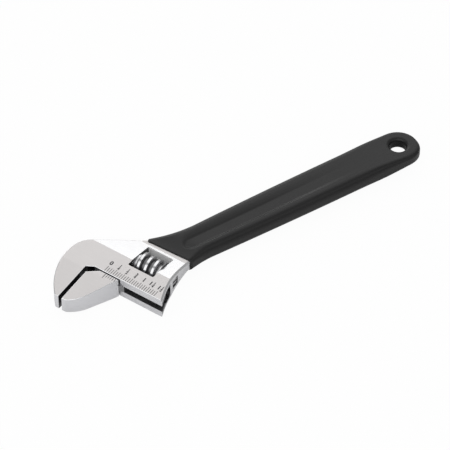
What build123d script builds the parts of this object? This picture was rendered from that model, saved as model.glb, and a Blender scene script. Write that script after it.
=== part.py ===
from build123d import *
import math
import os

os.makedirs("parts", exist_ok=True)

# An adjustable wrench lying flat. Millimetres and degrees.
# The origin is the centre of the hang hole, halfway through the thickness.
# +X runs from the head along the handle, and +Z is up through the thickness.
# The head has its own plane: x is the way the jaw opens, y runs along the jaw faces to the handle.

# Place of the head on the handle
throat_to_hole = 229.6
throat_offset = 15.7
jaw_angle = 22.5

# Head and fixed jaw
head_thickness = 15.4
tip_thickness = 11.4
jaw_length = 29.5
taper_start = 2.0
tip_width = 2.8
throat_rise = 2.7
throat_slope = 30.0
flat_end = 20.9
slope_end = 40.0
head_end = 44.0
head_width = 56.8
end_wall_waist = 50.8
end_wall_neck = 49.6
back_neck = 17.8
back_bulge = (-18.2, 6.0)
back_high = (-13.2, 19.1)
edge_break = 0.5
end_wall_break = 1.1

# Handle bar and dipped grip
bar_thickness = 8.0
bar_edge = 1.2
bar_panel_depth = 1.0
grip_thickness = 12.4
grip_wall = 1.5
grip_edge = 5.0
grip_start = 41.6
waist_from_throat = 78.0
waist_width = 25.2
tail_width = 28.8
tail_behind_hole = 0.4
flare_radius = 88.0
panel_from_throat = 62.0
panel_length = 135.0
panel_width = 13.4
panel_depth = 0.8
panel_wall_angle = 40.0
hang_hole_diameter = 11.0
hang_hole_edge = 3.0

# Worm window, worm and pin
window_start = 21.0
window_width = 19.6
window_near = 15.9
window_far = 38.2
window_corner = 1.0
worm_axis = 26.2
worm_diameter = 18.0
worm_end_gap = 0.6
thread_pitch = 5.2
thread_depth = 2.6
thread_crest = 1.6
thread_root = 3.0
thread_sink = 0.3
pin_diameter = 5.0
pin_head_diameter = 6.4
pin_grip = 9.0
pin_recess = 1.4
pin_slot_width = 1.0
pin_slot_depth = 1.2
running_clearance = 0.08

# Worm spring
spring_wire = 0.8
spring_mean_diameter = 6.9
spring_turns = 3
spring_seat_depth = 4.4
spring_room = 0.55
spring_play = 0.05

# Movable jaw
jaw_gap = 2.4
jaw_heel = 3.8
heel_slope = 37.0
jaw_root = 21.4
jaw_side = (12.4, -18.8)
jaw_play = 0.9
web_thickness = 5.0
web_play = 0.1
web_start = 5.5
web_root = 1.5
web_heel = (24.8, 2.9)
shank_diameter = 10.0
shank_axis = 14.2
shank_lead = 4.5
shank_end = 27.2
channel_rest = 0.8
tooth_play = 0.25

# Values worked out from the sizes above
head_half = head_thickness / 2
tip_half = tip_thickness / 2
bar_half = bar_thickness / 2
grip_half = grip_thickness / 2
opening_x = math.sin(math.radians(jaw_angle))
opening_y = -math.cos(math.radians(jaw_angle))
opening = Vector(opening_x, opening_y, 0)
inward = Vector(-opening_y, opening_x, 0)
up = Vector(0, 0, 1)
head = Plane(origin=(-throat_to_hole, throat_offset, 0), x_dir=opening, z_dir=up)
head_side = Plane(origin=head.origin, x_dir=inward, z_dir=opening)
end_wall_middle = (end_wall_waist, head_end / 2)
throat_run = throat_rise / math.tan(math.radians(throat_slope))
far_reach = throat_to_hole
tail_x = -tail_behind_hole
waist_x = waist_from_throat - throat_to_hole
worm_start = window_start + worm_end_gap
worm_length = window_width - 2 * worm_end_gap
worm_radius = worm_diameter / 2
worm_core = worm_radius - thread_depth
worm_place = head.from_local_coords((worm_start, worm_axis, 0))
worm_plane = Plane(origin=worm_place, x_dir=-inward, z_dir=opening)
pin_radius = pin_diameter / 2
window_end = window_start + window_width
shank_radius = shank_diameter / 2
channel_radius = shank_radius + running_clearance
lead_slope = thread_pitch / (math.pi * worm_diameter)
thread_run = (up - opening * lead_slope).normalized()
jaw_head = Plane(origin=head.from_local_coords((jaw_gap, 0, 0)), x_dir=opening, z_dir=up)
shoulder = throat_rise - jaw_play
web_foot = shoulder - web_root
web_back = jaw_root - web_root
heel_run = (shoulder + jaw_heel) / math.tan(math.radians(heel_slope))
jaw_side_run = (jaw_side[0] - jaw_root, jaw_side[1] - shoulder)
channel_start = -shank_lead - channel_rest
channel_mouth = web_start - channel_rest
first_tooth = math.floor((jaw_gap - shank_lead - worm_start) / thread_pitch)
last_tooth = math.ceil((jaw_gap + shank_end - worm_start) / thread_pitch)
panel_middle = panel_from_throat + panel_length / 2 - throat_to_hole
spring_seat_radius = (spring_mean_diameter + spring_wire) / 2 + spring_room
coil_start = worm_length - spring_seat_depth + spring_wire / 2 + spring_play
coil_pitch = (spring_seat_depth + worm_end_gap - spring_wire - 2 * spring_play) / spring_turns
pin_head_length = end_wall_waist - window_end - pin_recess


def flat_profile():
    # Half-thickness along the head: thin at the jaw tips, full at the ground flat, thin at the bar
    taper_run = jaw_length - taper_start
    tip_far = -taper_start - 2 * taper_run
    tip_far_half = head_half - 2 * (head_half - tip_half)
    upper = [(tip_far, tip_far_half), (-taper_start, head_half), (flat_end, head_half)]
    upper += [(slope_end, bar_half), (far_reach, bar_half)]
    lower = [(y, -z) for y, z in reversed(upper)]
    with BuildSketch(head_side) as profile:
        with BuildLine():
            Polyline(*upper, *lower, close=True)
        make_face()
    return profile.sketch


def handle_outline(inset):
    # Flared at the head, slim at the waist, wider at the round tail
    waist = waist_width / 2 - inset
    tail = tail_width / 2 - inset
    radius = flare_radius + inset
    run = waist_from_throat - 0.75 * slope_end
    drop = radius - math.sqrt(radius * radius - run * run)
    half_drop = radius - math.sqrt(radius * radius - run * run / 4)
    flare_x = waist_x - run
    middle_x = waist_x - run / 2
    with BuildSketch() as outline:
        with BuildLine():
            Line((tail_x, tail), (waist_x, waist))
            ThreePointArc((waist_x, waist), (middle_x, waist + half_drop), (flare_x, waist + drop))
            Line((flare_x, waist + drop), (flare_x, -waist - drop))
            ThreePointArc((flare_x, -waist - drop), (middle_x, -waist - half_drop), (waist_x, -waist))
            Line((waist_x, -waist), (tail_x, -tail))
            ThreePointArc((tail_x, -tail), (tail_x + tail, 0), (tail_x, tail))
        make_face()
    return outline.sketch


def head_side_cut(start):
    # Everything on the head's side of a line along the opening direction
    with BuildSketch(head) as side:
        with Locations((0, start - far_reach / 2)):
            Rectangle(2 * far_reach, far_reach)
    return side.sketch


def border_edges(part):
    # Edges between a broad upper or lower face and a side wall
    broad = part.faces().filter_by(lambda face: abs(face.normal_at().Z) > 0.9)
    found = [edge for face in broad for edge in face.edges()]
    return ShapeList(edge for edge in found if sum(edge.is_same(other) for other in found) == 1)


def on_end_wall(edge):
    place = head.to_local_coords(edge.center())
    return place.X > end_wall_neck - 1 and throat_rise + 1 < place.Y < head_end - 1


def on_rim(edge):
    place = head.to_local_coords(edge.center())
    return place.X < end_wall_neck - 3 and place.Y < head_end - 1


def at_hang_hole(edge):
    return edge.center().length < grip_thickness


def along_opening(start, across):
    # A plane across the opening direction, at a place on the head
    place = head.from_local_coords((start, across, 0))
    return Plane(origin=place, x_dir=inward, z_dir=opening)


def thread_section(inner, outer, play):
    # Thread form across the worm: distance from the axis, then along it
    slope = (thread_root - thread_crest) / 2 / thread_depth
    inner_half = thread_crest / 2 + slope * (worm_radius - inner) + play
    outer_half = thread_crest / 2 + slope * (worm_radius - outer) + play
    return [(inner, -inner_half), (inner, inner_half), (outer, outer_half), (outer, -outer_half)]


def coil_point(quarter):
    # Place and direction on the spring's middle line after some quarter turns
    turn = quarter * math.pi / 2
    radius = spring_mean_diameter / 2
    rise = coil_start + coil_pitch * quarter / 4
    place = worm_plane.from_local_coords((radius * math.cos(turn), radius * math.sin(turn), rise))
    climb = coil_pitch / (2 * math.pi)
    way = worm_plane.x_dir * (-radius * math.sin(turn)) + worm_plane.y_dir * (radius * math.cos(turn))
    return place, (way + opening * climb).normalized()


def biarc_joint(start, start_way, end, end_way):
    # Where two arcs meet that leave and arrive in the given directions
    step = end - start
    both = step.dot(start_way + end_way)
    bend = 2 * (1 - start_way.dot(end_way))
    reach = (math.sqrt(both * both + bend * step.dot(step)) - both) / bend
    return (start + end + (start_way - end_way) * reach) / 2


def coil_gap():
    # Least gap between one turn and the next, measured on points of the middle line
    points = [coil_point(count / 16)[0] for count in range(64 * spring_turns + 1)]
    far = 48
    pairs = [(one, other) for one in range(len(points)) for other in range(one + far, len(points))]
    return min((points[one] - points[other]).length for one, other in pairs) - spring_wire


# Wrench body: head and fixed jaw, handle bar, then the cuts
with BuildPart() as wrench_body:
    with BuildSketch(head):
        with BuildLine():
            Polyline((0, -jaw_length), (0, 0), (throat_run, throat_rise), (head_width, throat_rise))
            ThreePointArc((head_width, throat_rise), end_wall_middle, (end_wall_neck, head_end))
            Polyline((end_wall_neck, head_end), (back_neck, head_end), back_high)
            TangentArc(back_bulge, back_high, tangent=(0, 1))
            TangentArc(back_bulge, (-tip_width, -jaw_length), tangent=(0, -1))
            Line((-tip_width, -jaw_length), (0, -jaw_length))
        make_face()
    extrude(amount=head_half, both=True)
    extrude(flat_profile(), amount=far_reach, both=True, mode=Mode.INTERSECT)
    chamfer(border_edges(wrench_body.part).filter_by(on_end_wall), length=end_wall_break)
    fillet(border_edges(wrench_body.part).filter_by(on_rim), radius=edge_break)
    with BuildPart(mode=Mode.PRIVATE) as bar:
        extrude(handle_outline(grip_wall), amount=bar_half, both=True)
        fillet(bar.faces().filter_by(Axis.Z).edges(), radius=bar_edge)
        extrude(head_side_cut(slope_end), amount=head_half, both=True, mode=Mode.SUBTRACT)
        for side in (1, -1):
            with BuildSketch(Plane.XY.offset(side * (bar_half - bar_panel_depth))):
                with Locations((panel_middle, 0)):
                    SlotOverall(panel_length, panel_width)
            extrude(amount=side * bar_half, mode=Mode.SUBTRACT)
        with BuildSketch():
            Circle(hang_hole_diameter / 2 + grip_wall)
        extrude(amount=bar_half, both=True, mode=Mode.SUBTRACT)
    add(bar.part)
    with BuildSketch(head):
        with Locations((window_start + window_width / 2, (window_near + window_far) / 2)):
            RectangleRounded(window_width, window_far - window_near, window_corner)
    extrude(amount=head_half, both=True, mode=Mode.SUBTRACT)
    with BuildSketch(along_opening(channel_start, shank_axis)):
        Circle(channel_radius)
    extrude(amount=far_reach, mode=Mode.SUBTRACT)
    with BuildSketch(head):
        with Locations((channel_mouth + far_reach / 2, shank_axis / 2)):
            Rectangle(far_reach, shank_axis)
    extrude(amount=web_thickness / 2 + web_play, both=True, mode=Mode.SUBTRACT)
    with BuildSketch(along_opening(window_end, worm_axis)):
        Circle(pin_head_diameter / 2)
    extrude(amount=far_reach, mode=Mode.SUBTRACT)
    with BuildSketch(along_opening(window_start, worm_axis)):
        Circle(pin_radius)
    extrude(amount=-pin_grip, mode=Mode.SUBTRACT)
wrench_body.part.label = "wrench_body"
export_step(wrench_body.part, "parts/wrench_body.step")
print("wrench_body", wrench_body.part.is_valid, round(wrench_body.part.volume))


# Movable jaw: jaw, web and toothed shank in one forging
with BuildPart() as movable_jaw:
    with BuildSketch(jaw_head):
        with BuildLine():
            Polyline((tip_width, -jaw_length), (0, -jaw_length), (0, -jaw_heel), (heel_run, shoulder))
            Polyline((heel_run, shoulder), (jaw_root, shoulder), jaw_side)
            TangentArc(jaw_side, (tip_width, -jaw_length), tangent=jaw_side_run)
        make_face()
    extrude(amount=head_half, both=True)
    extrude(flat_profile(), amount=far_reach, both=True, mode=Mode.INTERSECT)
    fillet(border_edges(movable_jaw.part), radius=edge_break)
    with BuildSketch(jaw_head):
        with BuildLine():
            Polyline((heel_run, web_foot), (web_back, web_foot), web_heel, (shank_end, shank_axis))
            Polyline((shank_end, shank_axis), (web_start, shank_axis), (heel_run, web_foot))
        make_face()
    extrude(amount=web_thickness / 2, both=True)
    with BuildSketch(along_opening(jaw_gap - shank_lead, shank_axis)):
        Circle(shank_radius)
    extrude(amount=shank_lead + shank_end)
    groove_form = thread_section(worm_core, worm_radius + tooth_play, tooth_play)
    for tooth in range(first_tooth, last_tooth + 1):
        groove_place = head.from_local_coords((worm_start + tooth * thread_pitch, worm_axis, 0))
        with BuildSketch(Plane(origin=groove_place, x_dir=-inward, z_dir=thread_run)):
            with BuildLine():
                Polyline(*groove_form, close=True)
            make_face()
        extrude(amount=shank_diameter, both=True, mode=Mode.SUBTRACT)
movable_jaw.part.label = "movable_jaw"
export_step(movable_jaw.part, "parts/movable_jaw.step")
print("movable_jaw", movable_jaw.part.is_valid, round(movable_jaw.part.volume))


# Adjusting worm: a core with one thread, bored for the pin and recessed for the spring
with BuildPart() as adjusting_worm:
    with BuildSketch(worm_plane.offset(-2 * thread_pitch)):
        Circle(worm_core)
    extrude(amount=worm_length + 4 * thread_pitch)
    thread_form = thread_section(worm_core - thread_sink, worm_radius, 0)
    helix = Edge.make_helix(thread_pitch, worm_length + 2 * thread_pitch, worm_core)
    thread_line = worm_plane.offset(-thread_pitch).from_local_coords(helix)
    with BuildSketch(Plane(origin=thread_line @ 0, x_dir=-inward, z_dir=thread_line % 0)):
        with BuildLine():
            Polyline(*[(x - worm_core, y) for x, y in thread_form], close=True)
        make_face()
    sweep(path=thread_line, is_frenet=True)
    with BuildSketch(worm_plane):
        Circle(worm_radius + 1)
    extrude(amount=worm_length, mode=Mode.INTERSECT)
    with BuildSketch(worm_plane):
        Circle(pin_radius + running_clearance)
    extrude(amount=worm_length, mode=Mode.SUBTRACT)
    with BuildSketch(worm_plane.offset(worm_length)):
        Circle(spring_seat_radius)
    extrude(amount=-spring_seat_depth, mode=Mode.SUBTRACT)
adjusting_worm.part.label = "adjusting_worm"
export_step(adjusting_worm.part, "parts/adjusting_worm.step")
print("adjusting_worm", adjusting_worm.part.is_valid, round(adjusting_worm.part.volume))


# Worm pin: a shank with a slotted round head, put in from the end wall
with BuildPart() as worm_pin:
    with BuildSketch(along_opening(window_start - pin_grip, worm_axis)):
        Circle(pin_radius)
    extrude(amount=pin_grip + window_width)
    with BuildSketch(along_opening(window_end, worm_axis)):
        Circle(pin_head_diameter / 2)
    extrude(amount=pin_head_length)
    with BuildSketch(along_opening(window_end + pin_head_length, worm_axis)):
        Rectangle(2 * pin_head_diameter, pin_slot_width)
    extrude(amount=-pin_slot_depth, mode=Mode.SUBTRACT)
worm_pin.part.label = "worm_pin"
export_step(worm_pin.part, "parts/worm_pin.step")
print("worm_pin", worm_pin.part.is_valid, round(worm_pin.part.volume))


# Worm spring: a coil round the pin, between the worm's recess and the window wall
with BuildPart() as worm_spring:
    with BuildLine() as coil:
        for quarter in range(4 * spring_turns):
            start, start_way = coil_point(quarter)
            end, end_way = coil_point(quarter + 1)
            middle = biarc_joint(start, start_way, end, end_way)
            TangentArc(start, middle, tangent=start_way)
            TangentArc(middle, end, tangent=-end_way, tangent_from_first=False)
    with BuildSketch(Plane(origin=coil.line @ 0, z_dir=coil.line % 0)):
        Circle(spring_wire / 2)
    sweep(path=coil.line)
worm_spring.part.label = "worm_spring"
export_step(worm_spring.part, "parts/worm_spring.step")
print("worm_spring", worm_spring.part.is_valid, round(worm_spring.part.volume, 1))
print("worm_spring least gap between turns", round(coil_gap(), 3))


# Handle grip: a dipped coat round the bar, with a shallow panel on both faces
with BuildPart() as handle_grip:
    extrude(handle_outline(0), amount=grip_half, both=True)
    fillet(handle_grip.faces().filter_by(Axis.Z).edges(), radius=grip_edge)
    extrude(head_side_cut(grip_start), amount=head_half, both=True, mode=Mode.SUBTRACT)
    with BuildSketch():
        Circle(hang_hole_diameter / 2)
    extrude(amount=grip_half, both=True, mode=Mode.SUBTRACT)
    hole_rim = handle_grip.edges().filter_by(GeomType.CIRCLE).filter_by(at_hang_hole)
    fillet(hole_rim, radius=hang_hole_edge)
    for side in (1, -1):
        with BuildSketch(Plane.XY.offset(side * (grip_half - panel_depth))):
            with Locations((panel_middle, 0)):
                SlotOverall(panel_length, panel_width)
        extrude(amount=side * panel_depth, taper=-panel_wall_angle, mode=Mode.SUBTRACT)
    add(wrench_body.part, mode=Mode.SUBTRACT)
handle_grip.part.label = "handle_grip"
export_step(handle_grip.part, "parts/handle_grip.step")
print("handle_grip", handle_grip.part.is_valid, round(handle_grip.part.volume))
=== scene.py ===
import math

import bmesh
import bpy
import numpy as np
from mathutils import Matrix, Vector


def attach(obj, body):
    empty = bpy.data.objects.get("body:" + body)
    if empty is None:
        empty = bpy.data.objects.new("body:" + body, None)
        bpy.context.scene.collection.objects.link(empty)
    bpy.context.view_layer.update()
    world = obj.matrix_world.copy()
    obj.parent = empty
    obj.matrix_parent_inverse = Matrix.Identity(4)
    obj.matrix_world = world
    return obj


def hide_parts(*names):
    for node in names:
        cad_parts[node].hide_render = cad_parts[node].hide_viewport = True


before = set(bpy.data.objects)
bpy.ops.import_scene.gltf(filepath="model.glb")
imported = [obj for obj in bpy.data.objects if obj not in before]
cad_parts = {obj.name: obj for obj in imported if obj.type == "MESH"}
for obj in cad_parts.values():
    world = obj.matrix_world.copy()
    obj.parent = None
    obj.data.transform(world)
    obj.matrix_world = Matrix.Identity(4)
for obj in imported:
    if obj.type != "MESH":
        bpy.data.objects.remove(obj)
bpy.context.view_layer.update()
print("frame loaded", sorted(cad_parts))

mm = 0.001

# the head's own axes: along the opening, and inward to the handle
headPlace = {"throatX": -229.6, "throatY": 15.7, "angle": 22.5, "flatHeight": 7.7}
headTurn = math.radians(headPlace["angle"])
openWay = np.array([math.sin(headTurn), -math.cos(headTurn)])
inWay = np.array([-openWay[1], openWay[0]])


def headToWorld(along, inward, height):
    # head sizes in millimetres to the shared frame in metres
    along, inward, height = np.broadcast_arrays(along, inward, height)
    x = headPlace["throatX"] + along * openWay[0] + inward * inWay[0]
    y = headPlace["throatY"] + along * openWay[1] + inward * inWay[1]
    return np.stack([x, y, height], axis=-1) * mm


def gridFaces(rows, columns):
    # quads of a grid of closed rings, with the last column joined to the first
    row, column = np.meshgrid(np.arange(rows - 1), np.arange(columns), indexing="ij")
    nextColumn = (column + 1) % columns
    quads = [row * columns + column, row * columns + nextColumn]
    quads += [(row + 1) * columns + nextColumn, (row + 1) * columns + column]
    return np.stack(quads, axis=-1).reshape(-1, 4)


def makePiece(name, points, faces, material, smooth=True):
    mesh = bpy.data.meshes.new(name)
    mesh.from_pydata(points.reshape(-1, 3).tolist(), [], [list(face) for face in faces])
    mesh.materials.append(material)
    mesh.polygons.foreach_set("use_smooth", np.full(len(mesh.polygons), smooth))
    mesh.update()
    piece = bpy.data.objects.new(name, mesh)
    bpy.context.scene.collection.objects.link(piece)
    return piece


# shader helpers
def newMaterial(name):
    material = bpy.data.materials.new(name)
    material.use_nodes = True
    return material, material.node_tree, material.node_tree.nodes["Principled BSDF"]


def addNode(tree, kind, settings=None, inputs=None):
    # an input that is a socket is linked, and any other is set as a value
    node = tree.nodes.new(kind)
    for key, value in (settings or {}).items():
        setattr(node, key, value)
    for key, value in (inputs or {}).items():
        if isinstance(value, bpy.types.NodeSocket):
            tree.links.new(value, node.inputs[key])
        else:
            node.inputs[key].default_value = value
    return node


def mathNode(tree, operation, first, second=0.0, third=0.0):
    values = {0: first, 1: second, 2: third}
    return addNode(tree, "ShaderNodeMath", {"operation": operation}, values).outputs[0]


def vectorNode(tree, operation, inputs):
    return addNode(tree, "ShaderNodeVectorMath", {"operation": operation}, inputs)


def mixColour(tree, factor, first, second):
    inputs = {"Factor": factor, 6: first, 7: second}  # 6 and 7 are the two colours
    return addNode(tree, "ShaderNodeMix", {"data_type": "RGBA"}, inputs).outputs[2]


def scaleColour(tree, colour, shade):
    return vectorNode(tree, "SCALE", {0: colour, "Scale": shade}).outputs[0]


def stepNode(tree, value, low, high, start=0.0, end=1.0):
    settings = {"interpolation_type": "SMOOTHSTEP"}
    inputs = {"Value": value, "From Min": low, "From Max": high, "To Min": start, "To Max": end}
    return addNode(tree, "ShaderNodeMapRange", settings, inputs).outputs[0]


def addBump(tree, shader, height, strength, distance):
    bump = addNode(tree, "ShaderNodeBump", {}, {"Strength": strength, "Distance": distance})
    tree.links.new(height, bump.inputs["Height"])
    tree.links.new(bump.outputs[0], shader.inputs["Normal"])


# node groups that more than one material uses
def newGroup(name, inputs, outputs):
    group = bpy.data.node_groups.new(name, "ShaderNodeTree")
    for socket, kind in inputs.items():
        group.interface.new_socket(socket, in_out="INPUT", socket_type=kind)
    for socket in outputs:
        group.interface.new_socket(socket, in_out="OUTPUT", socket_type="NodeSocketFloat")
    return group, group.nodes.new("NodeGroupInput"), group.nodes.new("NodeGroupOutput")


def centredNoise(group, place, scale, detail):
    # noise as a value around 0
    inputs = {"Vector": place, "Scale": scale, "Detail": detail}
    noise = addNode(group, "ShaderNodeTexNoise", {}, inputs)
    return mathNode(group, "SUBTRACT", noise.outputs[0], 0.5)


grindingNoise = {
    "stretch": (60.0, 2600.0, 2600.0), "lineDetail": 3.0,
    "patchScale": 90.0, "patchDetail": 2.0,
}


def grindingGroup():
    # grinding lines, which are noise drawn out along one direction, and broad patches
    inputs = {"Turn": "NodeSocketVector", "Fineness": "NodeSocketFloat"}
    group, start, end = newGroup("grindingLines", inputs, ["Lines", "Patches"])
    place = addNode(group, "ShaderNodeTexCoord").outputs["Object"]
    turn = {"Vector": place, "Rotation": start.outputs["Turn"]}
    turned = addNode(group, "ShaderNodeVectorRotate", {"rotation_type": "EULER_XYZ"}, turn)
    drawn = vectorNode(group, "MULTIPLY", {0: turned.outputs[0], 1: grindingNoise["stretch"]})
    fineness = start.outputs["Fineness"]
    lines = centredNoise(group, drawn.outputs[0], fineness, grindingNoise["lineDetail"])
    patches = centredNoise(group, place, grindingNoise["patchScale"], grindingNoise["patchDetail"])
    group.links.new(lines, end.inputs["Lines"])
    group.links.new(patches, end.inputs["Patches"])
    return group


skinNoise = {"pebbleDetail": 2.0, "cloudScale": 55.0, "cloudDetail": 3.0}


def skinGroup():
    # soft mottling of a dipped or etched skin: fine pebbles and broad clouds
    inputs = {"Fineness": "NodeSocketFloat"}
    group, start, end = newGroup("dippedSkin", inputs, ["Pebble", "Cloud"])
    place = addNode(group, "ShaderNodeTexCoord").outputs["Object"]
    pebble = centredNoise(group, place, start.outputs["Fineness"], skinNoise["pebbleDetail"])
    cloud = centredNoise(group, place, skinNoise["cloudScale"], skinNoise["cloudDetail"])
    group.links.new(pebble, end.inputs["Pebble"])
    group.links.new(cloud, end.inputs["Cloud"])
    return group


grinding = grindingGroup()
dippedSkin = skinGroup()


def placeGroup(tree, group, values):
    node = tree.nodes.new("ShaderNodeGroup")
    node.node_tree = group
    for key, value in values.items():
        node.inputs[key].default_value = value
    return node


def placeGrinding(tree, look):
    values = {"Turn": (0.0, 0.0, look["lineTurn"]), "Fineness": look["lineFineness"]}
    node = placeGroup(tree, grinding, values)
    return node.outputs["Lines"], node.outputs["Patches"]


# masks in the head's axes
def headCoordinates(tree):
    # Object coordinates turned into the head's own axes, in millimetres
    place = addNode(tree, "ShaderNodeTexCoord").outputs["Object"]
    throat = (headPlace["throatX"] * mm, headPlace["throatY"] * mm, 0.0)
    moved = vectorNode(tree, "SUBTRACT", {0: place, 1: throat})
    turn = {"Vector": moved.outputs[0], "Angle": math.radians(90.0 - headPlace["angle"])}
    turned = addNode(tree, "ShaderNodeVectorRotate", {"rotation_type": "Z_AXIS"}, turn)
    scaled = vectorNode(tree, "SCALE", {0: turned.outputs[0], "Scale": 1.0 / mm})
    parts = addNode(tree, "ShaderNodeSeparateXYZ", {}, {0: scaled.outputs[0]})
    return parts.outputs[0], parts.outputs[1], parts.outputs[2]


def insideMask(tree, value, low, high):
    # 1 between two limits
    above = mathNode(tree, "GREATER_THAN", value, low)
    below = mathNode(tree, "LESS_THAN", value, high)
    return mathNode(tree, "MULTIPLY", above, below)


def boxMask(tree, places, low, high):
    # 1 inside a box
    masks = [insideMask(tree, place, start, end) for place, start, end in zip(places, low, high)]
    return mathNode(tree, "MULTIPLY", mathNode(tree, "MULTIPLY", masks[0], masks[1]), masks[2])


# steel of the body and the jaw
steelLook = {
    "groundColour": (0.50, 0.484, 0.48, 1.0),
    "polishedColour": (0.78, 0.78, 0.79, 1.0),
    # painted shade: the sides a little darker than the polished slopes, with a slight bluish tint
    "sideShadeColour": (0.73, 0.73, 0.75, 1.0),
    # painted shade in the hollows
    "hollowShadeColour": (0.12, 0.12, 0.125, 1.0),
    # painted shade on the jaw's slides inside the body
    "slideShadeColour": (0.27, 0.27, 0.275, 1.0),
    # painted light: the window's far wall made pale
    "paleWallLight": (0.92, 0.92, 0.92, 1.0),
    # painted shade on the gripping faces in the gap between the jaws
    "biteShadeColour": (0.16, 0.16, 0.165, 1.0),
    "groundRoughness": 0.36,
    "polishedRoughness": 0.2,
    "hollowRoughness": 0.2,  # added to the other roughness
    # less metal on that pale wall, so it takes diffuse light
    "paleWallMetal": 0.1,
    "lineTurn": math.radians(67.5),
    "lineFineness": 1.0,
    "lineShade": 0.16,
    "patchShade": 0.05,
    "lineRoughness": 0.16,
    "lineDepth": 0.08,
    "lineHeight": 0.0002,
    "groundFrom": 0.985,  # upward share of the normal where a slope turns into a ground flat
    "groundFull": 0.993,
    "slopeFrom": 0.3,  # and where a side turns into a slope
    "slopeFull": 0.7,
    "biteFrom": 0.4,  # share of the normal along the opening on a gripping face
    "biteFull": 0.5,
    "biteStart": -30.0,
}
# boxes in the head's axes, as their low and high corners in millimetres
# the hollows, where the colour is darkened with painted shade
bodyHollows = {
    "window": ((20.9, 15.8, -7.4), (40.4, 37.9, 7.35)),
    "channel": ((-6.0, 2.75, -5.15), (60.0, 19.4, 5.15)),
    "pinSeat": ((40.5, 22.8, -3.3), (60.0, 29.6, 3.3)),
}
# the jaw's slides inside the body, darkened with painted shade
jawSlides = {
    "web": ((6.0, 1.2, -2.6), (60.0, 10.0, 2.6)),
    "shank": ((-6.0, 8.5, -5.2), (60.0, 30.0, 5.2)),
}
# the window's far wall, painted pale as painted light
windowWall = ((20.9, 37.9, -4.3), (40.7, 38.5, 4.3))
biteReach = {"body": 8.0, "jaw": 13.0}


def steelMaterial(name, hollows, hollowShadeColour, biteSign, biteEnd, paleWallBox=None):
    # ground upper and lower flats, polished slopes and sides, by how far the surface faces up; the
    # sides are a little darker and bluer than the slopes, as painted shade
    # the gripping faces and the hollows are darkened with painted shade, the hollows are made rougher
    # too, and one wall may be painted pale and less metallic as painted light
    look = steelLook
    material, tree, shader = newMaterial(name)
    places = headCoordinates(tree)
    normal = addNode(tree, "ShaderNodeNewGeometry").outputs["Normal"]
    normalParts = addNode(tree, "ShaderNodeSeparateXYZ", {}, {0: normal})
    upward = mathNode(tree, "ABSOLUTE", normalParts.outputs[2])
    ground = stepNode(tree, upward, look["groundFrom"], look["groundFull"])
    sloped = stepNode(tree, upward, look["slopeFrom"], look["slopeFull"])
    lines, patches = placeGrinding(tree, look)
    areas = list(hollows.values())
    hollow = boxMask(tree, places, *areas[0])
    for area in areas[1:]:
        hollow = mathNode(tree, "MAXIMUM", hollow, boxMask(tree, places, *area))
    biteWay = (openWay[0] * biteSign, openWay[1] * biteSign, 0.0)
    facing = vectorNode(tree, "DOT_PRODUCT", {0: normal, 1: biteWay}).outputs["Value"]
    biting = stepNode(tree, facing, look["biteFrom"], look["biteFull"])
    nearMouth = insideMask(tree, places[0], look["biteStart"], biteEnd)
    biting = mathNode(tree, "MULTIPLY", biting, nearMouth)
    # painted shade: the sides darker than the slopes
    colour = mixColour(tree, sloped, look["sideShadeColour"], look["polishedColour"])
    colour = mixColour(tree, ground, colour, look["groundColour"])
    # painted shade: the faces that meet across the gap are darkened
    colour = mixColour(tree, biting, colour, look["biteShadeColour"])
    shade = mathNode(tree, "MULTIPLY_ADD", lines, look["lineShade"], 1.0)
    shade = mathNode(tree, "MULTIPLY_ADD", patches, look["patchShade"], shade)
    colour = scaleColour(tree, colour, shade)
    # painted shade: the hollows and the jaw's slides are darkened
    colour = mixColour(tree, hollow, colour, hollowShadeColour)
    rough = stepNode(tree, ground, 0.0, 1.0, look["polishedRoughness"], look["groundRoughness"])
    rough = mathNode(tree, "MULTIPLY_ADD", lines, look["lineRoughness"], rough)
    rough = mathNode(tree, "MULTIPLY_ADD", hollow, look["hollowRoughness"], rough)
    shader.inputs["Metallic"].default_value = 1.0
    # painted light: one wall painted pale and made less metallic
    if paleWallBox:
        wall = boxMask(tree, places, *paleWallBox)
        colour = mixColour(tree, wall, colour, look["paleWallLight"])
        metal = mathNode(tree, "MULTIPLY_ADD", wall, look["paleWallMetal"] - 1.0, 1.0)
        tree.links.new(metal, shader.inputs["Metallic"])
    tree.links.new(colour, shader.inputs["Base Color"])
    tree.links.new(rough, shader.inputs["Roughness"])
    grooves = mathNode(tree, "MULTIPLY", lines, ground)
    addBump(tree, shader, grooves, look["lineDepth"], look["lineHeight"])
    return material


bodySteel = steelMaterial(
    "bodySteel", bodyHollows, steelLook["hollowShadeColour"], 1.0, biteReach["body"], windowWall
)
jawSteel = steelMaterial("jawSteel", jawSlides, steelLook["slideShadeColour"], -1.0, biteReach["jaw"])

# steel of the worm
wormLook = {
    "crestColour": (0.68, 0.68, 0.69, 1.0),
    # painted shade in the thread roots
    "rootShadeColour": (0.2, 0.2, 0.205, 1.0),
    "crestRoughness": 0.22,
    "rootRoughness": 0.42,
    "lineTurn": math.radians(-22.5),
    "lineFineness": 0.8,
    "patchShade": 0.2,
    "lineRoughness": 0.15,
}
# the worm's axis in the head's axes, and where its crests and its ends turn bright
wormAxis = {
    "along": 30.8, "inward": 26.2,
    "crestStart": 7.2, "crestFull": 8.8, "endStart": 7.5, "endFull": 8.1,
}


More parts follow.
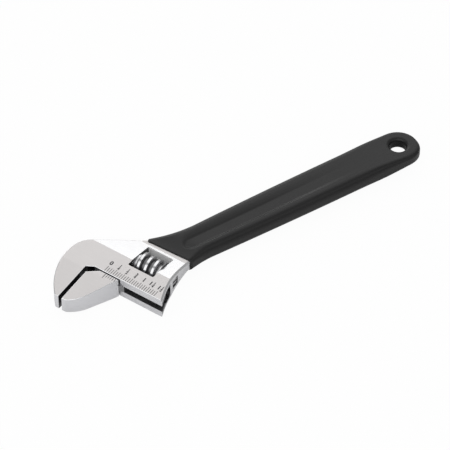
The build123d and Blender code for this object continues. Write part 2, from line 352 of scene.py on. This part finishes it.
def wormMaterial():
    # bright crests and ends over roots darkened with painted shade and made rougher, by the places
    # along and around the worm's own axis
    look = wormLook
    material, tree, shader = newMaterial("wormSteel")
    along, inward, height = headCoordinates(tree)
    side = mathNode(tree, "SUBTRACT", inward, wormAxis["inward"])
    sideSquare = mathNode(tree, "MULTIPLY", side, side)
    squares = mathNode(tree, "MULTIPLY_ADD", height, height, sideSquare)
    radius = mathNode(tree, "SQRT", squares)
    crest = stepNode(tree, radius, wormAxis["crestStart"], wormAxis["crestFull"])
    fromMiddle = mathNode(tree, "SUBTRACT", along, wormAxis["along"])
    fromMiddle = mathNode(tree, "ABSOLUTE", fromMiddle)
    ends = stepNode(tree, fromMiddle, wormAxis["endStart"], wormAxis["endFull"])
    bright = mathNode(tree, "MAXIMUM", crest, ends)
    lines, patches = placeGrinding(tree, look)
    # painted shade: the roots darker than the crests and ends
    colour = mixColour(tree, bright, look["rootShadeColour"], look["crestColour"])
    shade = mathNode(tree, "MULTIPLY_ADD", patches, look["patchShade"], 1.0)
    tree.links.new(scaleColour(tree, colour, shade), shader.inputs["Base Color"])
    rough = stepNode(tree, crest, 0.0, 1.0, look["rootRoughness"], look["crestRoughness"])
    rough = mathNode(tree, "MULTIPLY_ADD", lines, look["lineRoughness"], rough)
    tree.links.new(rough, shader.inputs["Roughness"])
    shader.inputs["Metallic"].default_value = 1.0
    return material


wormSteel = wormMaterial()

# steel of the pin and its spring
springLook = {
    "colour": (0.45, 0.45, 0.46), "roughness": 0.34,
    "lineTurn": 0.3, "lineFineness": 1.2, "patchShade": 0.3, "lineRoughness": 0.2,
}


def springMaterial():
    look = springLook
    material, tree, shader = newMaterial("springSteel")
    lines, patches = placeGrinding(tree, look)
    shade = mathNode(tree, "MULTIPLY_ADD", patches, look["patchShade"], 1.0)
    tree.links.new(scaleColour(tree, look["colour"], shade), shader.inputs["Base Color"])
    rough = mathNode(tree, "MULTIPLY_ADD", lines, look["lineRoughness"], look["roughness"])
    tree.links.new(rough, shader.inputs["Roughness"])
    shader.inputs["Metallic"].default_value = 1.0
    return material


springSteel = springMaterial()

# dipped vinyl of the grip
gripLook = {
    "colour": (0.007, 0.007, 0.0072), "roughness": 0.42, "sheen": 0.34,
    "pebbleFineness": 900.0, "pebbleDepth": 0.12, "pebbleHeight": 0.0003,
    "cloudShade": 0.35, "cloudRoughness": 0.12,
}


def gripMaterial():
    look = gripLook
    material, tree, shader = newMaterial("blackVinyl")
    skin = placeGroup(tree, dippedSkin, {"Fineness": look["pebbleFineness"]})
    shade = mathNode(tree, "MULTIPLY_ADD", skin.outputs["Cloud"], look["cloudShade"], 1.0)
    tree.links.new(scaleColour(tree, look["colour"], shade), shader.inputs["Base Color"])
    rough = skin.outputs["Cloud"]
    rough = mathNode(tree, "MULTIPLY_ADD", rough, look["cloudRoughness"], look["roughness"])
    tree.links.new(rough, shader.inputs["Roughness"])
    addBump(tree, shader, skin.outputs["Pebble"], look["pebbleDepth"], look["pebbleHeight"])
    shader.inputs["Specular IOR Level"].default_value = look["sheen"]
    return material


blackVinyl = gripMaterial()

# dark etched marks of the scale
markLook = {
    "colour": (0.06, 0.06, 0.063), "roughness": 0.6, "metal": 0.4,
    "pebbleFineness": 3000.0, "pebbleShade": 0.5,
}


def markMaterial():
    look = markLook
    material, tree, shader = newMaterial("etchedMark")
    skin = placeGroup(tree, dippedSkin, {"Fineness": look["pebbleFineness"]})
    shade = mathNode(tree, "MULTIPLY_ADD", skin.outputs["Pebble"], look["pebbleShade"], 1.0)
    tree.links.new(scaleColour(tree, look["colour"], shade), shader.inputs["Base Color"])
    shader.inputs["Roughness"].default_value = look["roughness"]
    shader.inputs["Metallic"].default_value = look["metal"]
    return material


etchedMark = markMaterial()
print("materials made")

nodeLooks = {
    "wrench_body": bodySteel, "movable_jaw": jawSteel, "adjusting_worm": wormSteel,
    "worm_pin": springSteel, "worm_spring": springSteel,
}
for nodeName, nodeMaterial in nodeLooks.items():
    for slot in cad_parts[nodeName].material_slots:
        slot.material = nodeMaterial

# the dipped grip, in millimetres along the handle from the hang hole
gripShape = {
    "waistX": -151.6, "waistHalf": 12.6, "flareRadius": 96.0, "sideSwell": 0.7,
    "tailX": -0.4, "tailHalf": 13.9, "tailReach": 14.4, "farFullness": 2.0, "nearFullness": 2.4,
    "endX": -176.4, "endSlope": -0.372, "slopeShare": 0.45, "half": 6.2, "edge": 5.0,
    "lipHalf": 4.85, "lipEdge": 2.8, "lipLength": 17.0, "lipRound": 0.5, "lipSag": 1.4,
    "tailThin": 1.9, "noseStart": -24.0, "noseEnd": 5.0, "tailEdge": 3.4, "tailEdgeRun": 40.0,
    "panelStart": -168.6, "panelEnd": -26.0, "panelFade": 95.0, "panelHalf": 7.4,
    "panelDepth": 1.35, "panelSharp": 2.6, "panelBroad": 7.0, "broadStart": -2.0, "broadRun": 6.0,
    "holeRadius": 5.5, "holeEdge": 3.0, "holeOver": 0.06, "holeBarHalf": 9.0,
}
gripMesh = {
    "stations": 230, "tailStations": 46, "lipStations": 6, "across": 51, "round": 15,
    "holeRound": 13, "holeSides": 72, "endRounds": 12, "slopeStep": 0.01,
    "weld": 0.00001, "cutWeld": 0.000002, "sharpAngle": math.radians(45.0),
}


def softStep(value):
    value = np.clip(value, 0.0, 1.0)
    return value * value * (3.0 - 2.0 * value)


def gripHalfWidth(x):
    # straight from the waist to the tail with a slight swell, and a circular flare towards the head
    shape = gripShape
    way = np.clip((x - shape["waistX"]) / (shape["tailX"] - shape["waistX"]), 0.0, 1.0)
    straight = shape["waistHalf"] + (shape["tailHalf"] - shape["waistHalf"]) * way
    straight = straight + 4.0 * shape["sideSwell"] * way * (1.0 - way)
    run = np.minimum(x - shape["waistX"], 0.0)
    radius = shape["flareRadius"]
    flare = shape["waistHalf"] + radius - np.sqrt(radius ** 2 - run ** 2)
    return np.where(x < shape["waistX"], flare, straight)


def noseScale(x):
    # share of the full thickness that is left where the tail thins to its tip
    shape = gripShape
    way = softStep((x - shape["noseStart"]) / (shape["noseEnd"] - shape["noseStart"]))
    return 1.0 - shape["tailThin"] / shape["half"] * way


def panelDip(x, y):
    # 1 inside a long round-ended hollow that fades to the tail, and 0 outside
    # its border is close on the near side and broad on the far side
    shape = gripShape
    near = shape["panelStart"] + shape["panelHalf"]
    offset = np.hypot(np.minimum(x - near, 0.0), y)
    farShare = softStep((y - shape["broadStart"]) / shape["broadRun"])
    border = shape["panelSharp"] + (shape["panelBroad"] - shape["panelSharp"]) * farShare
    inside = softStep((shape["panelHalf"] - offset) / border)
    return inside * softStep((shape["panelEnd"] - x) / shape["panelFade"])


def gripSide(base, shear, setBack, turn, sign, fullness):
    # one side's line where its rounded edge starts, set back from the outline along its normals
    # the outline's stations lean with the slanted end, so x is found in a few rounds
    # the tail is an oval: x is the reach times sine, y the half width times cosine, both to
    # the power of 2 / fullness, so a fullness of 2 is an ellipse and a larger one is squarer
    shape = gripShape
    x = base.copy()
    for _ in range(gripMesh["endRounds"]):
        x = base + shear * sign * gripHalfWidth(x)
    y = gripHalfWidth(x)
    step = gripMesh["slopeStep"]
    slope = (gripHalfWidth(x + step) - gripHalfWidth(x - step)) / (2.0 * step)
    length = np.hypot(slope, 1.0)
    share = 2.0 / fullness
    tailOutX = shape["tailHalf"] * np.sin(turn) ** (2.0 - share)
    tailOutY = shape["tailReach"] * np.cos(turn) ** (2.0 - share)
    tailLength = np.hypot(tailOutX, tailOutY)
    outX = np.concatenate([-slope / length, tailOutX / tailLength])
    outY = np.concatenate([1.0 / length, tailOutY / tailLength])
    x = np.concatenate([x, shape["tailX"] + shape["tailReach"] * np.sin(turn) ** share])
    y = np.concatenate([y, shape["tailHalf"] * np.cos(turn) ** share])
    return x - setBack * outX, sign * (y - setBack * outY), outX, sign * outY


def gripSurface():
    # rings along the handle: a top line, a rounded side, a bottom line and the other rounded side
    # the first rings turn in to a rounded lip, and the last swing round the tail to one line
    shape = gripShape
    lip = np.linspace(0.0, np.pi / 2, gripMesh["lipStations"])
    full = shape["tailX"] - shape["endX"]
    way = np.linspace(shape["lipRound"], full, gripMesh["stations"])[1:]
    along = np.concatenate([shape["lipRound"] * (1.0 - np.cos(lip)), way])
    turn = np.linspace(0.0, np.pi / 2, gripMesh["tailStations"])[1:]
    still = np.zeros(len(turn))
    inset = np.concatenate([shape["lipRound"] * (1.0 - np.sin(lip)), np.zeros(len(way)), still])
    reached = np.concatenate([along, still + full])
    grown = softStep(reached / shape["lipLength"])
    nearTail = softStep((reached - full + shape["tailEdgeRun"]) / shape["tailEdgeRun"])
    half = shape["lipHalf"] + (shape["half"] - shape["lipHalf"]) * grown - inset
    edge = shape["lipEdge"] + (shape["edge"] - shape["lipEdge"]) * grown
    edge = edge + (shape["tailEdge"] - shape["edge"]) * nearTail - inset
    base = shape["endX"] + along
    shear = shape["endSlope"] * (1.0 - softStep(along / (shape["slopeShare"] * full)))
    far = gripSide(base, shear, edge + inset, turn, 1.0, shape["farFullness"])
    near = gripSide(base, shear, edge + inset, turn, -1.0, shape["nearFullness"])
    farX, farY, farOutX, farOutY = [line[:, None] for line in far]
    nearX, nearY, nearOutX, nearOutY = [line[:, None] for line in near]
    across = np.linspace(0.0, 1.0, gripMesh["across"])
    topX = farX + (nearX - farX) * across
    topY = farY + (nearY - farY) * across
    topZ = half[:, None] - shape["panelDepth"] * panelDip(topX, topY)
    angle = np.linspace(0.0, np.pi / 2, gripMesh["round"])
    bend = np.concatenate([angle, np.pi / 2 + angle])[1:-1]
    reach = edge[:, None] * np.sin(bend)
    rise = edge[:, None] * np.cos(bend)
    upper = np.where(np.arange(len(bend)) < len(angle) - 1, 1.0, -1.0)
    height = upper * (half - edge)[:, None] + rise
    sag = (shape["lipSag"] * (1.0 - grown))[:, None] * np.sin(bend) ** 2
    nearSideX = nearX + nearOutX * reach + sag
    nearSideY = nearY + nearOutY * reach
    farSideX = farX + farOutX * reach[:, ::-1] + sag[:, ::-1]
    farSideY = farY + farOutY * reach[:, ::-1]
    x = np.hstack([topX, nearSideX, topX[:, ::-1], farSideX])
    y = np.hstack([topY, nearSideY, topY[:, ::-1], farSideY])
    z = np.hstack([topZ, height, -topZ[:, ::-1], height[:, ::-1]]) * noseScale(x)
    return np.stack([x, y, z], axis=-1) * mm


def holeCutter():
    # a round bar that flares at both faces by the rim's radius
    # it goes a little past the surface, for a clean cut
    shape = gripShape
    barHalf = shape["holeBarHalf"]
    angle = np.linspace(0.0, np.pi / 2, gripMesh["holeRound"])
    radius = shape["holeRadius"] + shape["holeEdge"] * (1.0 - np.cos(angle))
    height = shape["half"] - shape["holeEdge"]
    height = height + (shape["holeEdge"] + shape["holeOver"]) * np.sin(angle)
    radius = np.concatenate([[0.0, radius[-1]], radius[::-1], radius, [radius[-1], 0.0]])
    height = np.concatenate([[-barHalf, -barHalf], -height[::-1], height, [barHalf, barHalf]])
    spin = np.linspace(0.0, 2 * np.pi, gripMesh["holeSides"], endpoint=False)
    x = radius[:, None] * np.cos(spin)
    y = radius[:, None] * np.sin(spin)
    z = height[:, None] * noseScale(x)
    return np.stack([x, y, z], axis=-1) * mm


def mergeMesh(piece, distance):
    work = bmesh.new()
    work.from_mesh(piece.data)
    bmesh.ops.remove_doubles(work, verts=work.verts, dist=distance)
    bmesh.ops.dissolve_degenerate(work, edges=work.edges, dist=distance)
    bmesh.ops.recalc_face_normals(work, faces=work.faces)
    work.to_mesh(piece.data)
    work.free()


def makeGrip():
    rings = gripSurface()
    faces = gridFaces(rings.shape[0], rings.shape[1]).tolist()
    faces.append(list(range(rings.shape[1]))[::-1])  # the flat end inside the lip
    grip = makePiece("dipped_grip", rings, faces, blackVinyl)
    mergeMesh(grip, gripMesh["weld"])
    bar = holeCutter()
    barFaces = gridFaces(bar.shape[0], bar.shape[1])
    cutter = makePiece("hole_cutter", bar, barFaces, blackVinyl)
    mergeMesh(cutter, gripMesh["weld"])
    cut = grip.modifiers.new("hangHole", "BOOLEAN")
    cut.operation = "DIFFERENCE"
    cut.solver = "EXACT"
    cut.object = cutter
    shown = grip.evaluated_get(bpy.context.evaluated_depsgraph_get())
    finished = bpy.data.meshes.new_from_object(shown)
    grip.modifiers.clear()
    grip.data = finished
    mergeMesh(grip, gripMesh["cutWeld"])
    finished.polygons.foreach_set("use_smooth", np.ones(len(finished.polygons), bool))
    finished.set_sharp_from_angle(angle=gripMesh["sharpAngle"])
    bpy.data.objects.remove(cutter)
    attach(grip, "frame")
    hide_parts("handle_grip")
    return grip


dippedGrip = makeGrip()
print("grip made", len(dippedGrip.data.polygons))

# the inch scale on the body and the index on the jaw, in millimetres in the head's axes
scaleMarks = {
    "first": 11.9, "step": 1.5875, "count": 25, "ticksPerLabel": 4,
    "edge": 3.3, "width": 0.38, "proud": 0.03, "sunk": 0.02,
    "longTick": 4.6, "middleTick": 4.2, "shortTick": 3.8,
}
scaleLabels = {
    "inward": 10.8, "size": 4.5, "weight": 0.17, "curveSteps": 3, "weld": 0.000001,
    "wholeShift": 1.2, "fractionShift": 1.0, "fractionSize": 0.66, "fractionRise": 1.25,
    "barLength": 1.5, "barWidth": 0.2,
}
jawMarks = {
    "index": 11.9, "rest": 2.4, "edge": 1.2, "count": 6,
    "longTick": 3.6, "shortTick": 2.3, "indexWidth": 0.45,
}


def tickPiece(name, along, start, length, width):
    # small raised bars, closed boxes of eight corners each, sunk a little into the flat
    along, start, length, width = np.broadcast_arrays(along, start, length, width)
    signs = np.array([[-1, 0], [1, 0], [1, 1], [-1, 1]], float)
    cornerAlong = along[:, None] + signs[:, 0] * width[:, None] / 2
    cornerInward = start[:, None] + signs[:, 1] * length[:, None]
    flat = headPlace["flatHeight"]
    low = headToWorld(cornerAlong, cornerInward, flat - scaleMarks["sunk"])
    high = headToWorld(cornerAlong, cornerInward, flat + scaleMarks["proud"])
    points = np.concatenate([low, high], axis=1)
    ends = [[4, 5, 6, 7], [0, 3, 2, 1]]
    walls = [[0, 1, 5, 4], [1, 2, 6, 5], [2, 3, 7, 6], [3, 0, 4, 7]]
    box = np.array([ends[0], *walls, ends[1]])
    faces = (np.arange(len(along))[:, None, None] * 8 + box).reshape(-1, 4)
    return makePiece(name, points, faces, etchedMark, smooth=False)


def makeScaleTicks():
    # a long tick at each label, a middle one between, and a short one at the rest
    marks = scaleMarks
    number = np.arange(marks["count"])
    length = np.where(number % 2 == 0, marks["middleTick"], marks["shortTick"])
    length = np.where(number % marks["ticksPerLabel"] == 0, marks["longTick"], length)
    along = marks["first"] + marks["step"] * number
    ticks = tickPiece("scale_ticks", along, marks["edge"], length, marks["width"])
    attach(ticks, "frame")


def makeJawTicks():
    # the index tick first, and short ones at the scale's step
    marks = jawMarks
    number = np.arange(marks["count"])
    length = np.where(number == 0, marks["longTick"], marks["shortTick"])
    width = np.where(number == 0, marks["indexWidth"], scaleMarks["width"])
    along = marks["rest"] + marks["index"] + scaleMarks["step"] * number
    ticks = tickPiece("index_ticks", along, marks["edge"] - length, length, width)
    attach(ticks, "jaw")


def textPoints(words, size, along, inward):
    # one word as thin closed letters, turned and moved onto the head's flat
    curve = bpy.data.curves.new("word", "FONT")
    curve.body = words
    curve.size = size
    curve.align_x = "CENTER"
    curve.align_y = "CENTER"
    curve.offset = scaleLabels["weight"] * size / scaleLabels["size"]
    curve.resolution_u = scaleLabels["curveSteps"]
    curve.extrude = (scaleMarks["proud"] + scaleMarks["sunk"]) / 2
    holder = bpy.data.objects.new("word", curve)
    bpy.context.scene.collection.objects.link(holder)
    shown = holder.evaluated_get(bpy.context.evaluated_depsgraph_get())
    mesh = bpy.data.meshes.new_from_object(shown)
    flat = np.empty(len(mesh.vertices) * 3)
    mesh.vertices.foreach_get("co", flat)
    flat = flat.reshape(-1, 3)
    faces = [list(polygon.vertices) for polygon in mesh.polygons]
    bpy.data.objects.remove(holder)
    bpy.data.curves.remove(curve)
    bpy.data.meshes.remove(mesh)
    height = headPlace["flatHeight"] + (scaleMarks["proud"] - scaleMarks["sunk"]) / 2
    return headToWorld(flat[:, 0] + along, flat[:, 1] + inward, flat[:, 2] + height), faces


def makeScaleNumbers():
    # whole inches at full size, fractions as a small pair over and under a bar
    look = scaleLabels
    labelStep = scaleMarks["ticksPerLabel"] * scaleMarks["step"]
    labels = [("0", ""), ("", "14"), ("", "12"), ("", "34"), ("1", ""), ("1", "14"), ("1", "12")]
    words, bars = [], []
    for order, (whole, fraction) in enumerate(labels):
        centre = scaleMarks["first"] + labelStep * order
        if whole:
            left = centre - (look["wholeShift"] if fraction else 0.0)
            words.append((whole, look["size"], left, look["inward"]))
        if fraction:
            right = centre + (look["fractionShift"] if whole else 0.0)
            for digit, rise in zip(fraction, (look["fractionRise"], -look["fractionRise"])):
                small = look["size"] * look["fractionSize"]
                words.append((digit, small, right, look["inward"] + rise))
            bars.append(right)
    points, faces, total = [], [], 0
    for word in words:
        places, corners = textPoints(*word)
        points.append(places)
        faces += [[corner + total for corner in face] for face in corners]
        total += len(places)
    numbers = makePiece("scale_numbers", np.concatenate(points), faces, etchedMark, smooth=False)
    mergeMesh(numbers, look["weld"])
    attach(numbers, "frame")
    barStart = look["inward"] - look["barWidth"] / 2
    strokes = tickPiece("fraction_bars", np.array(bars), barStart, look["barWidth"], look["barLength"])
    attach(strokes, "frame")


makeScaleTicks()
makeJawTicks()
makeScaleNumbers()
print("scale made")

# camera, floor and light
view = {
    "aim": (-0.1327, 0.0042, 0.0), "azimuth": -32.9, "elevation": 46.3, "distance": 1.928,
    "lens": 240.0, "sensor": 36.0, "farthest": 20.0,
}
floorLook = {
    "height": -0.0092, "half": 6.0, "colour": (0.85, 0.85, 0.85, 1.0), "roughness": 0.9, "sheen": 0.1,
    "seenWhite": 0.96, "mirroredWhite": 0.15,
}
worldGlow = {"onObject": 0.40, "seen": 1.0}
white = (1.0, 1.0, 1.0, 1.0)
lampAim = (-0.13, 0.0, 0.0)
lamps = {
    "backBox": {"place": (0.7, 1.05, 1.75), "size": (2.2, 2.0), "power": 13.6},
    "lowBox": {"place": (1.35, 1.1, 0.75), "size": (1.5, 0.8), "power": 1.3},
    "rimBox": {"place": (0.35, 1.9, 0.72), "size": (1.1, 0.8), "power": 5.5},
    "frontBox": {"place": (0.5, -1.15, 0.95), "size": (0.9, 0.5), "power": 1.2},
    "leftBox": {"place": (-1.15, -0.65, 1.3), "size": (3.0, 2.0), "power": 20.0},
}


def makeCamera():
    azimuth = math.radians(view["azimuth"])
    elevation = math.radians(view["elevation"])
    level = math.cos(elevation)
    back = Vector((math.sin(azimuth) * level, -math.cos(azimuth) * level, math.sin(elevation)))
    camera = bpy.data.objects.new("camera", bpy.data.cameras.new("camera"))
    camera.data.lens = view["lens"]
    camera.data.sensor_width = view["sensor"]
    camera.data.clip_end = view["farthest"]
    camera.location = Vector(view["aim"]) + back * view["distance"]
    camera.rotation_euler = back.to_track_quat("Z", "Y").to_euler()
    bpy.context.scene.collection.objects.link(camera)
    bpy.context.scene.camera = camera


def makeFloor():
    # a pale floor whose own white shows to the camera and a little in the steel, with the shadow kept
    look = floorLook
    material, tree, shader = newMaterial("paleFloor")
    shader.inputs["Base Color"].default_value = look["colour"]
    shader.inputs["Roughness"].default_value = look["roughness"]
    shader.inputs["Specular IOR Level"].default_value = look["sheen"]
    glow = addNode(tree, "ShaderNodeEmission", {}, {"Color": white, "Strength": 1.0})
    path = addNode(tree, "ShaderNodeLightPath").outputs
    seen = mathNode(tree, "MULTIPLY", path["Is Camera Ray"], look["seenWhite"])
    mirrored = mathNode(tree, "ADD", path["Is Glossy Ray"], path["Is Transmission Ray"])
    factor = mathNode(tree, "MULTIPLY_ADD", mirrored, look["mirroredWhite"], seen)
    shaders = {0: factor, 1: shader.outputs[0], 2: glow.outputs[0]}
    mix = addNode(tree, "ShaderNodeMixShader", {}, shaders)
    tree.links.new(mix.outputs[0], tree.nodes["Material Output"].inputs["Surface"])
    signs = np.array([[-1.0, -1.0], [1.0, -1.0], [1.0, 1.0], [-1.0, 1.0]])
    corners = np.column_stack([signs * look["half"], np.full(4, look["height"])])
    floor = makePiece("floor", corners, [[0, 1, 2, 3]], material, smooth=False)


def addSoftbox(name, place, size, power):
    light = bpy.data.lights.new(name, "AREA")
    light.shape = "RECTANGLE"
    light.size, light.size_y = size
    light.energy = power
    lamp = bpy.data.objects.new(name, light)
    lamp.location = place
    lamp.rotation_euler = (Vector(place) - Vector(lampAim)).to_track_quat("Z", "Y").to_euler()
    bpy.context.scene.collection.objects.link(lamp)


def makeLight():
    world = bpy.data.worlds.new("studio")
    bpy.context.scene.world = world
    world.use_nodes = True
    tree = world.node_tree
    glow = tree.nodes["Background"]
    glow.inputs["Color"].default_value = white
    path = addNode(tree, "ShaderNodeLightPath").outputs["Is Camera Ray"]
    strength = stepNode(tree, path, 0.0, 1.0, worldGlow["onObject"], worldGlow["seen"])
    tree.links.new(strength, glow.inputs["Strength"])
    for name, lamp in lamps.items():
        addSoftbox(name, **lamp)


bpy.context.scene.view_settings.view_transform = "Standard"
makeCamera()
makeFloor()
makeLight()
print("studio made")
